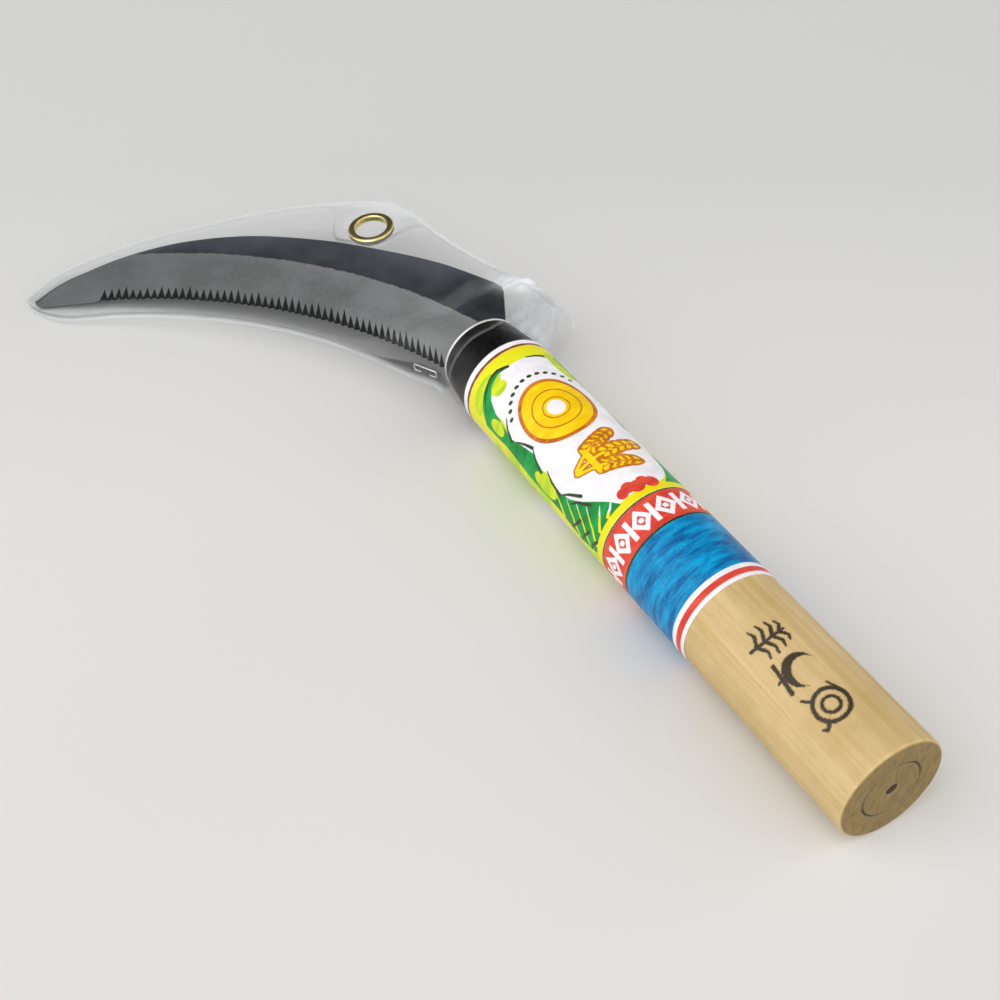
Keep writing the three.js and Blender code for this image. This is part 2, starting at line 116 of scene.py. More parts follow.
def make_piece(name, points, faces, body, replaces, attributes=None, sharp=40, weld=1e-3):
    """A closed mesh that rides on a body and stands for CAD nodes."""
    mesh = bpy.data.meshes.new(name)
    mesh.from_pydata((np.asarray(points).reshape(-1, 3) * MM).tolist(), [], faces)
    for label, values in (attributes or {}).items():
        mesh.attributes.new(label, "FLOAT", "POINT").data.foreach_set("value", np.ravel(values))
    shape = bmesh.new()
    shape.from_mesh(mesh)
    bmesh.ops.remove_doubles(shape, verts=shape.verts, dist=weld * MM)
    bmesh.ops.dissolve_degenerate(shape, dist=weld * MM, edges=shape.edges)
    bmesh.ops.recalc_face_normals(shape, faces=shape.faces)
    shape.to_mesh(mesh)
    shape.free()
    mesh.polygons.foreach_set("use_smooth", [True] * len(mesh.polygons))
    mesh.set_sharp_from_angle(angle=math.radians(sharp))
    piece = add_object(name, mesh)
    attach(piece, body)
    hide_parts(replaces)
    return piece


def cut_out(piece, points, faces):
    """Takes a simple closed solid away from a piece."""
    mesh = bpy.data.meshes.new("cutter")
    mesh.from_pydata((np.asarray(points).reshape(-1, 3) * MM).tolist(), [], faces)
    shape = bmesh.new()
    shape.from_mesh(mesh)
    bmesh.ops.recalc_face_normals(shape, faces=shape.faces)
    shape.to_mesh(mesh)
    shape.free()
    cutter = add_object("cutter", mesh)
    modifier = piece.modifiers.new("cut", "BOOLEAN")
    modifier.object = cutter
    modifier.operation = "DIFFERENCE"
    modifier.solver = "MANIFOLD"
    bpy.context.view_layer.update()
    graph = bpy.context.evaluated_depsgraph_get()
    result = bpy.data.meshes.new_from_object(piece.evaluated_get(graph))
    piece.modifiers.clear()
    result.materials.clear()
    result.polygons.foreach_set("material_index", [0] * len(result.polygons))
    piece.data = result
    bpy.data.objects.remove(cutter)


def prism(outline, half_height):
    """A flat outline in the blade's plane, thickened to both sides: points and faces."""
    outline = np.asarray(outline, float)
    count = len(outline)
    levels = [np.column_stack([outline, np.full(count, z)]) for z in (-half_height, half_height)]
    faces = [[i, (i + 1) % count, count + (i + 1) % count, count + i] for i in range(count)]
    faces += [list(range(count))[::-1], list(range(count, 2 * count))]
    return from_blade_plane(np.concatenate(levels)), faces


def on_arc(centre, radius, angle):
    return np.stack([centre[0] + radius * np.cos(angle), centre[1] + radius * np.sin(angle)], -1)


def spline(points, count):
    """Points at equal lengths along the smooth curve that three.js draws through these points."""
    points = np.asarray(points, float)
    t = np.linspace(0, len(points) - 1, 40 * (len(points) - 1) + 1)
    i = np.minimum(t.astype(int), len(points) - 2)
    f = (t - i)[:, None]
    p0 = points[np.maximum(i - 1, 0)]
    p1, p2 = points[i], points[i + 1]
    p3 = points[np.minimum(i + 2, len(points) - 1)]
    v0, v1 = (p2 - p0) / 2, (p3 - p1) / 2
    curve = (2 * p1 - 2 * p2 + v0 + v1) * f**3 + (-3 * p1 + 3 * p2 - 2 * v0 - v1) * f**2 + v0 * f + p1
    length = np.concatenate([[0], np.cumsum(np.hypot(*np.diff(curve, axis=0).T))])
    wanted = np.linspace(0, length[-1], count)
    return np.column_stack([np.interp(wanted, length, curve[:, k]) for k in (0, 1)])


def smooth_step(x, low, high):
    t = np.clip((x - low) / (high - low), 0, 1)
    return t * t * (3 - 2 * t)


def wavy(x, y, size, seed):
    """A smooth made-up unevenness, about -1 to 1, with waves of roughly that size."""
    draw = np.random.default_rng(seed)
    total = np.zeros(np.broadcast(x, y).shape)
    for _ in range(9):
        turn, phase = draw.uniform(0, 2 * math.pi, 2)
        step = 2 * math.pi / (size * draw.uniform(0.7, 1.6))
        total += np.sin((x * math.cos(turn) + y * math.sin(turn)) * step + phase)
    return total / 4.5


# ---------------------------------------------------------------- drawings for the prints


class Drawing:
    """Signed distances in millimetres, negative inside, on a grid of x and of arc round the handle.

    A place in a drawing is its x and its angle from straight up, in degrees.
    """

    def __init__(self, x, arc, radius):
        self.x, self.arc, self.radius = x, arc, radius

    def at(self, place):
        return place[0], math.radians(place[1]) * self.radius

    def oval(self, place, half_x, half_arc, turn=0.0):
        x, arc = self.at(place)
        dx, da = self.x - x, self.arc - arc
        cos, sin = math.cos(turn), math.sin(turn)
        reach = np.hypot((dx * cos + da * sin) / half_x, (da * cos - dx * sin) / half_arc)
        return (reach - 1) * min(half_x, half_arc)

    def ring(self, place, radius, half_width):
        return np.abs(self.oval(place, radius, radius)) - half_width

    def stroke(self, places, start, end=None):
        """A line through these places, with its half width at the start and at the end."""
        end = start if end is None else end
        points = [self.at(place) for place in places]
        result = np.full(self.x.shape, 1e3)
        for i, ((x0, a0), (x1, a1)) in enumerate(zip(points, points[1:])):
            length = math.hypot(x1 - x0, a1 - a0)
            along = ((self.x - x0) * (x1 - x0) + (self.arc - a0) * (a1 - a0)) / length**2
            along = np.clip(along, 0, 1)
            away = np.hypot(self.x - x0 - along * (x1 - x0), self.arc - a0 - along * (a1 - a0))
            width = start + (end - start) * (i + along) / (len(points) - 1)
            result = np.minimum(result, away - width)
        return result

    def patch(self, places):
        """The inside of a closed outline."""
        points = [self.at(place) for place in places]
        inside = np.zeros(self.x.shape, bool)
        for (x0, a0), (x1, a1) in zip(points, points[1:] + points[:1]):
            crosses = (a0 > self.arc) != (a1 > self.arc)
            with np.errstate(divide="ignore", invalid="ignore"):
                inside ^= crosses & (self.x < (x1 - x0) * (self.arc - a0) / (a1 - a0) + x0)
        away = self.stroke(places + places[:1], 0)
        return np.where(inside, -away, away)

    def stripe(self, low, high):
        return np.maximum(low - self.x, self.x - high)


def union(*shapes):
    return np.minimum.reduce(shapes)


# ---------------------------------------------------------------- materials


def colour(red, green, blue):
    """A colour given as seen on a screen, 0 to 255."""
    parts = [value / 255 for value in (red, green, blue)]
    return tuple(p / 12.92 if p < 0.04045 else ((p + 0.055) / 1.055) ** 2.4 for p in parts) + (1.0,)


class Finish:
    """A node-based material, built by calls that return sockets."""

    def __init__(self, name):
        self.material = bpy.data.materials.new(name)
        self.material.use_nodes = True
        self.tree = self.material.node_tree
        self.tree.nodes.clear()
        self.output = self.add("OutputMaterial")

    def add(self, kind, inputs=None, **settings):
        node = self.tree.nodes.new("ShaderNode" + kind)
        for key, value in settings.items():
            setattr(node, key, value)
        for key, value in (inputs or {}).items():
            if isinstance(value, bpy.types.NodeSocket):
                self.tree.links.new(value, node.inputs[key])
            else:
                node.inputs[key].default_value = value
        return node

    def place(self, scale=(1, 1, 1)):
        """Object coordinates in millimetres, scaled per axis."""
        spot = self.add("TexCoord").outputs["Object"]
        scale = tuple(value / MM for value in scale)
        return self.add("Mapping", {"Vector": spot, "Scale": scale}).outputs[0]

    def noise(self, scale, detail=3.0, roughness=0.55, place=None, distortion=0.0):
        inputs = {"Vector": place or self.place(), "Scale": scale, "Detail": detail}
        inputs.update({"Roughness": roughness, "Distortion": distortion})
        return self.add("TexNoise", inputs).outputs["Fac"]

    def attribute(self, name):
        return self.add("Attribute", attribute_name=name).outputs["Fac"]

    def math(self, operation, a, b):
        return self.add("Math", {0: a, 1: b}, operation=operation).outputs[0]

    def span(self, value, low, high, to_low=0.0, to_high=1.0):
        inputs = {"Value": value, "From Min": low, "From Max": high, "To Min": to_low, "To Max": to_high}
        return self.add("MapRange", inputs, clamp=True).outputs[0]

    def mix(self, share, a, b):
        """Two colours mixed, the second by this share. The colour sockets are 6, 7 and 2."""
        return self.add("Mix", {0: share, 6: a, 7: b}, data_type="RGBA").outputs[2]

    def mix_shaders(self, share, a, b):
        return self.add("MixShader", {0: share, 1: a, 2: b}).outputs[0]

    def bump(self, height, distance, normal=None):
        inputs = {"Height": height, "Distance": distance * MM}
        if normal:
            inputs["Normal"] = normal
        return self.add("Bump", inputs).outputs[0]

    def surface(self, **inputs):
        inputs = {name.replace("_", " "): value for name, value in inputs.items()}
        return self.add("BsdfPrincipled", inputs).outputs[0]

    def finish(self, shader):
        self.tree.links.new(shader, self.output.inputs["Surface"])
        return self.material


def wood_finish():
    m = Finish("turned_wood")
    along = m.place((0.035, 1.0, 1.0))
    grain = m.noise(0.55, 4, 0.6, along, 0.4)
    fibres = m.noise(3.2, 4, 0.7, m.place((0.05, 1.0, 1.0)))
    pores = m.noise(5.5, 2, 0.6, m.place((0.11, 1.0, 1.0)))
    stain = m.noise(0.05, 3, 0.6)
    base = m.mix(m.span(grain, 0.32, 0.68), colour(198, 170, 114), colour(220, 194, 146))
    base = m.mix(m.span(fibres, 0.35, 0.75, 0, 0.4), base, colour(188, 158, 100))
    base = m.mix(m.span(pores, 0.62, 0.74, 0, 0.4), base, colour(146, 116, 64))
    base = m.mix(m.span(stain, 0.42, 0.68, 0, 0.5), base, colour(178, 150, 84))
    blotch = m.noise(2.4, 3, 0.7)
    # The butt face is darkened by the way it points: partly the darker tone of end grain, partly painted
    # shade.
    facing = m.add("NewGeometry").outputs["Normal"]
    facing = m.add("SeparateXYZ", {0: facing}).outputs[0]
    rings = m.noise(0.9, 4, 0.6, m.place((0.2, 1.0, 0.35)), 0.8)
    end = m.mix(m.span(rings, 0.35, 0.65), colour(112, 91, 44), colour(138, 113, 62))
    base = m.mix(m.span(facing, -0.95, -0.6, 1.0, 0.0), base, end)
    # Painted shade in the butt's ring groove and centre hole.
    base = m.mix(m.attribute("painted_recess_shade"), base, colour(50, 35, 16))
    ink = m.math("ADD", m.attribute("ink"), m.span(blotch, 0.3, 0.8, -0.22, 0.3))
    base = m.mix(m.span(ink, -0.16, 0.14, 0.96, 0.0), base, colour(34, 22, 8))
    height = m.math("ADD", m.math("MULTIPLY", fibres, 0.7), m.math("MULTIPLY", pores, -0.5))
    gloss = m.span(grain, 0.3, 0.7, 0.62, 0.46)
    return m.finish(m.surface(Base_Color=base, Roughness=gloss, Normal=m.bump(height, 0.09)))


def paper_finish(inks):
    m = Finish("printed_label")
    fleck = m.noise(6.0, 2, 0.6)
    cloud = m.noise(0.22, 3, 0.6)
    base = m.mix(m.span(cloud, 0.4, 0.65), colour(233, 231, 238), colour(244, 243, 246))
    brushed = m.place((1.0, 0.22, 0.22))
    for name, (first, second, size) in inks.items():
        shade = m.noise(size, 3, 0.65, brushed)
        pigment = m.mix(m.span(shade, 0.38, 0.64), colour(*first), colour(*second))
        edge = m.math("ADD", m.attribute(name), m.span(fleck, 0.3, 0.7, -0.05, 0.05))
        base = m.mix(m.span(edge, -0.06, 0.06, 1.0, 0.0), base, pigment)
    base = m.mix(m.span(fleck, 0.6, 0.75, 0, 0.2), base, colour(255, 255, 255))
    height = m.math("ADD", m.noise(0.5, 2), m.math("MULTIPLY", fleck, 0.15))
    gloss = m.span(cloud, 0.3, 0.7, 0.3, 0.42)
    normal = m.bump(height, 0.12)
    return m.finish(m.surface(Base_Color=base, Roughness=gloss, Normal=normal, Specular_IOR_Level=0.2))


def ferrule_finish():
    m = Finish("black_iron")
    rough = m.noise(0.8, 5, 0.65)
    pits = m.noise(3.5, 3, 0.7)
    worn = m.span(m.attribute("lip"), 0.25, 0.75)
    skin = m.mix(m.span(rough, 0.35, 0.7), colour(6, 5, 7), colour(26, 24, 26))
    bare = m.mix(m.span(pits, 0.35, 0.65), colour(205, 200, 196), colour(240, 238, 234))
    base = m.mix(worn, skin, bare)
    gloss = m.math("ADD", m.span(rough, 0.3, 0.7, 0.24, 0.42), m.math("MULTIPLY", worn, 0.03))
    normal = m.bump(m.math("ADD", rough, m.math("MULTIPLY", pits, 0.3)), 0.12)
    metal = m.span(m.attribute("lip"), 0.2, 0.8, 0.3, 0.75)
    return m.finish(m.surface(Base_Color=base, Roughness=gloss, Metallic=metal, Normal=normal))


def blade_finish():
    m = Finish("forged_blade")
    ground = m.attribute("ground")
    groove = m.attribute("groove")
    wobble = m.noise(0.5, 4, 0.6)
    edge = m.math("ADD", ground, m.span(wobble, 0.3, 0.7, -0.3, 0.3))
    share = m.span(edge, -0.25, 0.25)
    scale_spots = m.noise(0.16, 5, 0.62)
    scale_fine = m.noise(2.2, 4, 0.7)
    skin = m.mix(m.span(scale_spots, 0.35, 0.68), colour(18, 21, 28), colour(50, 54, 62))
    # Painted reflection: a lighter grey band along the spine.
    skin = m.mix(m.span(m.attribute("painted_spine_sheen"), 0.0, 1.0, 0.0, 0.75), skin, colour(92, 96, 104))
    skin = m.mix(m.span(scale_fine, 0.55, 0.75, 0, 0.3), skin, colour(80, 80, 80))
    scratches = m.noise(1.1, 4, 0.7, m.place((0.5, 1.0, 1.0)), 0.2)
    clouds = m.noise(0.07, 4, 0.6)
    bright = m.mix(m.span(clouds, 0.38, 0.62), colour(120, 122, 121), colour(148, 149, 150))
    bright = m.mix(m.span(scratches, 0.4, 0.7, 0, 0.4), bright, colour(160, 161, 164))
    near_line = m.span(edge, 0.2, 3.2, 0.35, 0.0)
    bright = m.mix(near_line, bright, colour(170, 170, 174))
    # Painted light: the bevel is lighter near the heel and darker toward the tip.
    along = m.add("SeparateXYZ", {0: m.place()}).outputs[0]
    bright = m.mix(m.span(along, 45, 130, 0.0, 0.55), bright, colour(98, 100, 102))
    bright = m.mix(m.span(along, 35, 75, 0.35, 0.0), bright, colour(176, 178, 180))
    base = m.mix(share, skin, bright)
    # Painted shade: the file cuts and the underside of the toothed edge are darkened to near black.
    cut = m.span(groove, 0.05, 0.35)
    base = m.mix(cut, base, colour(9, 9, 12))
    metal = m.math("MULTIPLY", share, 0.45)
    gloss = m.span(cut, 0, 1, 0.49, 0.85)
    height = m.math("ADD", m.math("MULTIPLY", scale_fine, 0.6), scale_spots)
    height = m.math("MULTIPLY", height, m.span(share, 0, 1, 1.0, 0.25))
    normal = m.bump(height, 0.14, m.bump(scratches, 0.012))
    return m.finish(m.surface(Base_Color=base, Roughness=gloss, Metallic=metal, Normal=normal))


def film_finish():
    m = Finish("clear_film")
    ripple = m.noise(0.045, 1, 0.4)
    normal = m.bump(ripple, 0.9)
    facing = m.add("LayerWeight", {"Blend": 0.5, "Normal": normal}).outputs["Facing"]
    fresnel = m.math("ADD", m.math("MULTIPLY", m.math("POWER", facing, 6.0), 0.32), 0.011)
    gloss = m.add("BsdfGlossy", {"Color": (1, 1, 1, 1), "Roughness": 0.16, "Normal": normal}).outputs[0]
    clear = m.add("BsdfTransparent", {"Color": (0.995, 0.997, 1.0, 1)}).outputs[0]
    haze = m.add("BsdfDiffuse", {"Color": (0.9, 0.92, 0.96, 1)}).outputs[0]
    cloudy = m.span(m.attribute("haze"), 0.0, 1.0, 0.003, 0.8)
    return m.finish(m.mix_shaders(fresnel, m.mix_shaders(cloudy, clear, haze), gloss))


def metal_finish(name, dark, light, size, roughness, depth):
    m = Finish(name)
    patches = m.noise(size, 4, 0.6)
    fine = m.noise(size * 9, 3, 0.6)
    base = m.mix(m.span(patches, 0.35, 0.65), colour(*dark), colour(*light))
    gloss = m.span(fine, 0.3, 0.7, roughness - 0.06, roughness + 0.1)
    normal = m.bump(m.math("ADD", patches, m.math("MULTIPLY", fine, 0.4)), depth)
    return m.finish(m.surface(Base_Color=base, Roughness=gloss, Metallic=1.0, Normal=normal))


# Painted light fall-off: the table darkens along one direction.
TABLE_PAINTED_FALLOFF_TOWARD = (0.857, -0.515)
TABLE_PAINTED_FALLOFF_LENGTH = 160


def table_finish():
    m = Finish("pale_table")
    cloud = m.noise(0.004, 2, 0.5)
    base = m.mix(m.span(cloud, 0.3, 0.7), colour(217, 217, 216), colour(221, 220, 219))
    spot = m.add("SeparateXYZ", {0: m.place()}).outputs
    # Painted fall-off of the light across the table.
    painted_falloff = m.math("ADD", *(m.math("MULTIPLY", spot[k], TABLE_PAINTED_FALLOFF_TOWARD[k]) for k in (0, 1)))
    base = m.mix(m.span(painted_falloff, 0, TABLE_PAINTED_FALLOFF_LENGTH), base, colour(206, 207, 207))
    return m.finish(m.surface(Base_Color=base, Roughness=0.7))


# ---------------------------------------------------------------- handle

HANDLE_RADIUS = 14.05
HANDLE_FRONT_RADIUS = 13.45
LABEL_BACK_X = 56.6
LABEL_FRONT_X = 158.2
FERRULE_BACK_X = 158.5
FERRULE_FRONT_X = 172.5
FERRULE_FRONT_RADIUS = 11.5
NECK_INSET = 0.9
INK_CELL = 0.22
BUTT_RING_RADIUS = 7.85
BUTT_HOLE_RADIUS = 1.5
PIN_CENTRE = (146, 0)
PIN_HOLE_RADIUS = 1.8
PIN_HOLE_TURN = np.linspace(0, 2 * math.pi, 24, endpoint=False)


def handle_radius(x):
    share = np.asarray(x, float) / LABEL_FRONT_X
    return HANDLE_RADIUS + (HANDLE_FRONT_RADIUS - HANDLE_RADIUS) * share


def turned(profile, angles):
    """A closed solid from a profile of (radius, x), which starts and ends on the axis."""
    profile = np.asarray(profile, float)
    radius, x = profile[:, :1], profile[:, 1:]
    points = round_handle(x, radius, angles[None, :])
    return points, grid_faces(len(profile), len(angles), wrap_columns=True)


def arc_profile(centre_radius, centre_x, size, start, end, count):
    turn = np.radians(np.linspace(start, end, count))
    return [(centre_radius + size * math.sin(t), centre_x - size * math.cos(t)) for t in turn]


def build_handle():
    hole, ring = BUTT_HOLE_RADIUS, BUTT_RING_RADIUS
    butt = [(0, 11), (0.8, 10.4), (hole, 9.5), (hole, 5), (hole, 0.35), (hole + 0.35, 0)]
    butt += [(r, 0) for r in (3, 4.5, 6, 7.2)]
    butt += [(ring - 0.45, 0.06), (ring - 0.25, 0.4), (ring, 0.6), (ring + 0.25, 0.4), (ring + 0.45, 0.06)]
    butt += [(r, 0) for r in (8.5, 9.5, 11, 12.2)]
    butt += arc_profile(HANDLE_RADIUS - 1.0, 1.0, 1.0, 0, 90, 7)
    side = [np.arange(2, 10), np.arange(10, 47, INK_CELL), np.arange(47, 158, 1.5), [158.1]]
    side = np.concatenate(side)
    side = [(handle_radius(x) + 0.03 * math.sin(0.31 * x) + 0.02 * math.sin(0.9 * x), x) for x in side]
    neck = [(HANDLE_FRONT_RADIUS - 0.1, 158.4), (HANDLE_FRONT_RADIUS - NECK_INSET, 158.4)]
    neck += [(FERRULE_FRONT_RADIUS - NECK_INSET, 172.0), (0, 172.0)]
    profile = butt + side + neck
    step = INK_CELL / HANDLE_RADIUS
    fine = np.arange(math.radians(-6), math.radians(46), step)
    coarse = np.linspace(math.radians(46), math.radians(354), 72)
    angles = np.concatenate([fine, coarse[:-1]])
    points, faces = turned(profile, angles)
    x = np.asarray([place[1] for place in profile])[:, None] + 0 * angles
    arc = (angles * HANDLE_RADIUS)[None, :] + 0 * x
    d = Drawing(x, arc, HANDLE_RADIUS)
    coil = union(
        d.ring((17.6, 19), 4.1, 0.55),
        d.ring((17.6, 19), 2.0, 0.45),
        d.stroke([(17.6, 2), (18.6, 1), (22.6, 8)], 0.5, 0.3),
        d.stroke([(14.6, 31), (13.4, 37), (14.2, 40)], 0.55, 0.35),
        d.stroke([(20.8, 31), (22.6, 37)], 0.5, 0.3),
    )
    moon = np.maximum(d.oval((28.6, 17), 4.6, 4.3), -d.oval((27.2, 12), 4.2, 3.7))
    moon = union(
        moon,
        d.stroke([(25.4, 38), (29.0, 36), (33.4, 34)], 0.6, 0.5),
        d.stroke([(29.6, 30), (29.2, 41)], 0.5, 0.35),
    )
    sprig = [d.stroke([(39.6, 40), (39.2, 24), (39.6, 2)], 0.5, 0.35)]
    for turn, size in ((33, 4.2), (24, 4.4), (15, 4.0), (7, 3.0)):
        for reach in (-size, size):
            leaf = [(39.4, turn), (39.4 + reach * 0.6, turn - 5), (39.4 + reach, turn - 3)]
            sprig.append(d.stroke(leaf, 0.55, 0.3))
    ink = np.clip(union(coil, moon, *sprig), -1, 2)
    ink[: len(butt)] = 2
    radius = np.asarray([place[0] for place in profile])[:, None] + 0 * angles
    # The butt's ring groove and centre hole are marked for painted shade.
    in_groove = 1 - np.clip(np.abs(radius - BUTT_RING_RADIUS) / 0.6, 0, 1) ** 2
    in_hole = (radius < BUTT_HOLE_RADIUS + 0.2).astype(float)
    painted_recess_shade = 0.9 * np.maximum(in_groove, in_hole) * (x < 12) * (radius < 9)
    prints = {"ink": ink, "painted_recess_shade": painted_recess_shade}
    handle = make_piece("handle_wood", points, faces, "sickle", "handle", prints, 50)
    slot = [(174.5, -11.37), (163, -5.3), (122, -5.3), (119.7, -2.8)]
    slot += [(x, -y) for x, y in slot[::-1]]
    cut_out(handle, *prism(slot, 1.0))
    cut_out(handle, *prism(on_arc(PIN_CENTRE, PIN_HOLE_RADIUS, PIN_HOLE_TURN), 30))
    handle.data.materials.append(wood_finish())


# ---------------------------------------------------------------- label

LABEL_CELL = 0.33
LABEL_LIFT = 0.2

# Each ink's two shades, and the scale of the noise that mottles it.
INKS = {
    "blue": ((0, 92, 152), (0, 156, 212), 0.5),
    "yellow": ((240, 212, 0), (226, 228, 30), 0.08),
    "lime": ((168, 204, 24), (218, 228, 40), 0.3),
    "green": ((0, 122, 48), (8, 160, 70), 0.25),
    "red": ((205, 55, 45), (226, 84, 62), 0.6),
    "orange": ((176, 92, 22), (214, 128, 30), 0.6),
    "gold": ((240, 196, 0), (250, 214, 20), 0.4),
    "dark": ((28, 52, 34), (58, 74, 30), 0.6),
    "brown": ((120, 52, 40), (150, 72, 40), 0.8),
    "white": ((236, 234, 240), (246, 244, 248), 0.5),
}

DASH_TURNS = np.radians(np.linspace(-52, 58, 12))
DIAMOND_COUNT = 12
DIAMOND_ROW_X = 85.5


def label_print(d):
    """The signed distance of every ink: bands at the back, a field with a sun and wheat in front."""
    inks = {}
    field = d.stripe(93.0, 155.6)
    wave = 0.35 * np.sin(d.arc * 0.9) + 0.2 * np.sin(d.arc * 2.3)
    inks["blue"] = d.stripe(61.0, 80.1)
    panel_x, panel_arc = (d.x - 121.8) / 28.8, (d.arc - 3.2) / 15.6
    panel = ((np.abs(panel_x) ** 3.4 + np.abs(panel_arc) ** 3.4) ** (1 / 3.4) - 1) * 13.6
    front = np.abs(d.arc) - 27.5
    inks["yellow"] = union(d.stripe(90.8, 93.4), np.maximum.reduce([field, -panel, front]))
    limes = [((117, 84), 5.6, 3.4), ((141, 80), 6.0, 3.2), ((147.2, 43), 2.0, 2.6), ((150.5, 60), 3.0, 7.0)]
    limes += [((97, 100), 5, 4), ((128, 112), 16, 5), ((104, 135), 12, 5), ((140, 150), 14, 6)]
    limes += [((146, -40), 7, 3)]
    inks["lime"] = np.maximum(union(*(d.oval(*lime) for lime in limes)), field)
    hills = [(93, 33), (96, 40), (99.5, 51), (103, 62), (107, 71), (112, 76), (118, 75), (121, 71), (125, 66)]
    hills += [(130, 70), (134.5, 75), (139, 71), (143.5, 67), (147, 60), (149.6, 48), (150.6, 34)]
    hills += [(150.2, 20), (151.4, 24), (152.2, 40), (150.8, 60), (148.6, 78), (146, 92), (136, 90)]
    hills += [(122, 97), (111, 96), (100, 104), (93, 98)]
    left = [(93, -60), (93, -22), (95, -30), (99, -40), (105, -47), (112, -62)]
    back = [(93, 178), (100, 172), (108, 180), (116, 170), (126, 178), (136, 168), (147, 178), (155, 172)]
    back += [(155, 192), (140, 188), (128, 196), (112, 190), (93, 198)]
    green = union(d.patch(hills), d.patch(left), d.patch([(x, t - 360) for x, t in back]), d.patch(back))
    green = union(green, d.stroke([(118, -52), (128, -57), (140, -52), (150, -44)], 1.6, 0.6))
    gaps = [[(93.5, 88), (96, 76), (101, 62)], [(96.5, 96), (99.5, 82), (104.5, 68)]]
    gaps += [[(101, 100), (104, 86), (108, 74)], [(93.6, 70), (95.4, 60), (97.6, 50)]]
    gaps += [[(108, 96), (110, 86), (112.6, 79)], [(93.6, 52), (94.6, 44), (96, 38)]]
    gaps = union(*(d.stroke(gap, 0.5, 0.15) for gap in gaps))
    green = np.maximum(green, -union(gaps, d.oval((117, 84), 5.2, 2.6), d.oval((141, 79), 3.2, 2.0)))
    inks["green"] = np.maximum(green, field)
    berries = [((94.2, -8), 1.9), ((95.4, 0), 1.7), ((94.6, 8), 2.0), ((95.6, 17), 1.8), ((95.0, 25), 1.6)]
    inks["red"] = union(d.stripe(57.8, 59.6), d.stripe(80.7, 90.3), *(d.oval(b, r, r) for b, r in berries))
    sun = (129.8, 12)
    grains, stalks = [], []
    for tip, foot in (((102.6, -14), (108.4, 44)), ((109.0, -30), (109.0, 46)), ((115.2, -12), (109.8, 44))):
        stalks.append(d.stroke([foot, tip], 0.42, 0.3))
        lean = math.atan2(math.radians(tip[1] - foot[1]) * d.radius, tip[0] - foot[0])
        for k in range(5):
            share = 0.5 + 0.125 * k
            x = foot[0] + (tip[0] - foot[0]) * share
            turn = foot[1] + (tip[1] - foot[1]) * share
            for side in (-1, 1):
                aside = 1.15 * side * (1.1 - 0.12 * k)
                middle = (x - aside * math.sin(lean), turn + math.degrees(aside * math.cos(lean) / d.radius))
                grains.append(d.oval(middle, 1.7, 0.92, lean - 0.45 * side))
    stalks.append(d.stroke([(104.8, 24), (113.2, 24)], 0.85))
    wheat = union(*grains, *stalks)
    inks["orange"] = union(d.oval(sun, 11.2, 10.8), wheat - 0.45)
    gold = np.maximum(d.oval(sun, 10.0, 9.6), -union(d.ring(sun, 6.6, 0.22), d.ring(sun, 3.6, 0.2)))
    husks = union(*(np.abs(grain + 0.1) - 0.17 for grain in grains))
    inks["gold"] = union(gold, np.maximum(wheat, -husks))
    leaves = [[(100, 57), (104, 66), (106, 74)], [(104, 58), (108, 68), (110, 75)]]
    leaves += [[(120, 76), (123, 70), (126, 62)], [(126, 62), (129, 66), (132, 72)]]
    leaves += [[(134, 77), (137, 70), (139, 61)], [(93.4, 84), (95, 93), (95.6, 101)]]
    leaves += [[(97, 82), (98.6, 92), (99.6, 102)], [(101, 80), (103, 92), (104.6, 101)]]
    leaves += [[(111, 77), (115, 74), (118, 68)], [(150.0, -26), (150.4, -14), (150.6, -4)]]
    leaves += [[(150.6, 20), (151.8, 32), (151.6, 44), (149.6, 62), (147, 76)]]
    dark = union(*(d.stroke(leaf, 0.5, 0.22) for leaf in leaves))
    for turn in DASH_TURNS:
        dash = (sun[0] + 13.9 * math.cos(turn), sun[1] + math.degrees(13.2 * math.sin(turn) / d.radius))
        dark = union(dark, d.oval(dash, 0.55, 0.8))
    inks["dark"] = union(np.maximum(dark, field), d.stripe(80.05, 80.75), d.stripe(90.25, 90.75))
    inks["brown"] = union(d.stripe(155.6, 156.5) + 0.12 * wave, d.stripe(57.6, 57.75))
    pitch = 2 * math.pi * d.radius / DIAMOND_COUNT
    within = (d.arc + pitch / 2) % pitch - pitch / 2
    across = np.abs(d.x - DIAMOND_ROW_X)
    diamond = (across + np.abs(within) * 1.25) / 1.6
    diamond = np.maximum(diamond - 2.35, 1.15 - diamond)
    bars = np.maximum(np.abs(np.abs(within) - pitch / 2 + 0.15) - 0.55, across - 3.2)
    dots = np.hypot(across, within) - 0.75
    inks["white"] = union(diamond, bars, dots, d.oval(sun, 2.7, 2.5))
    return inks


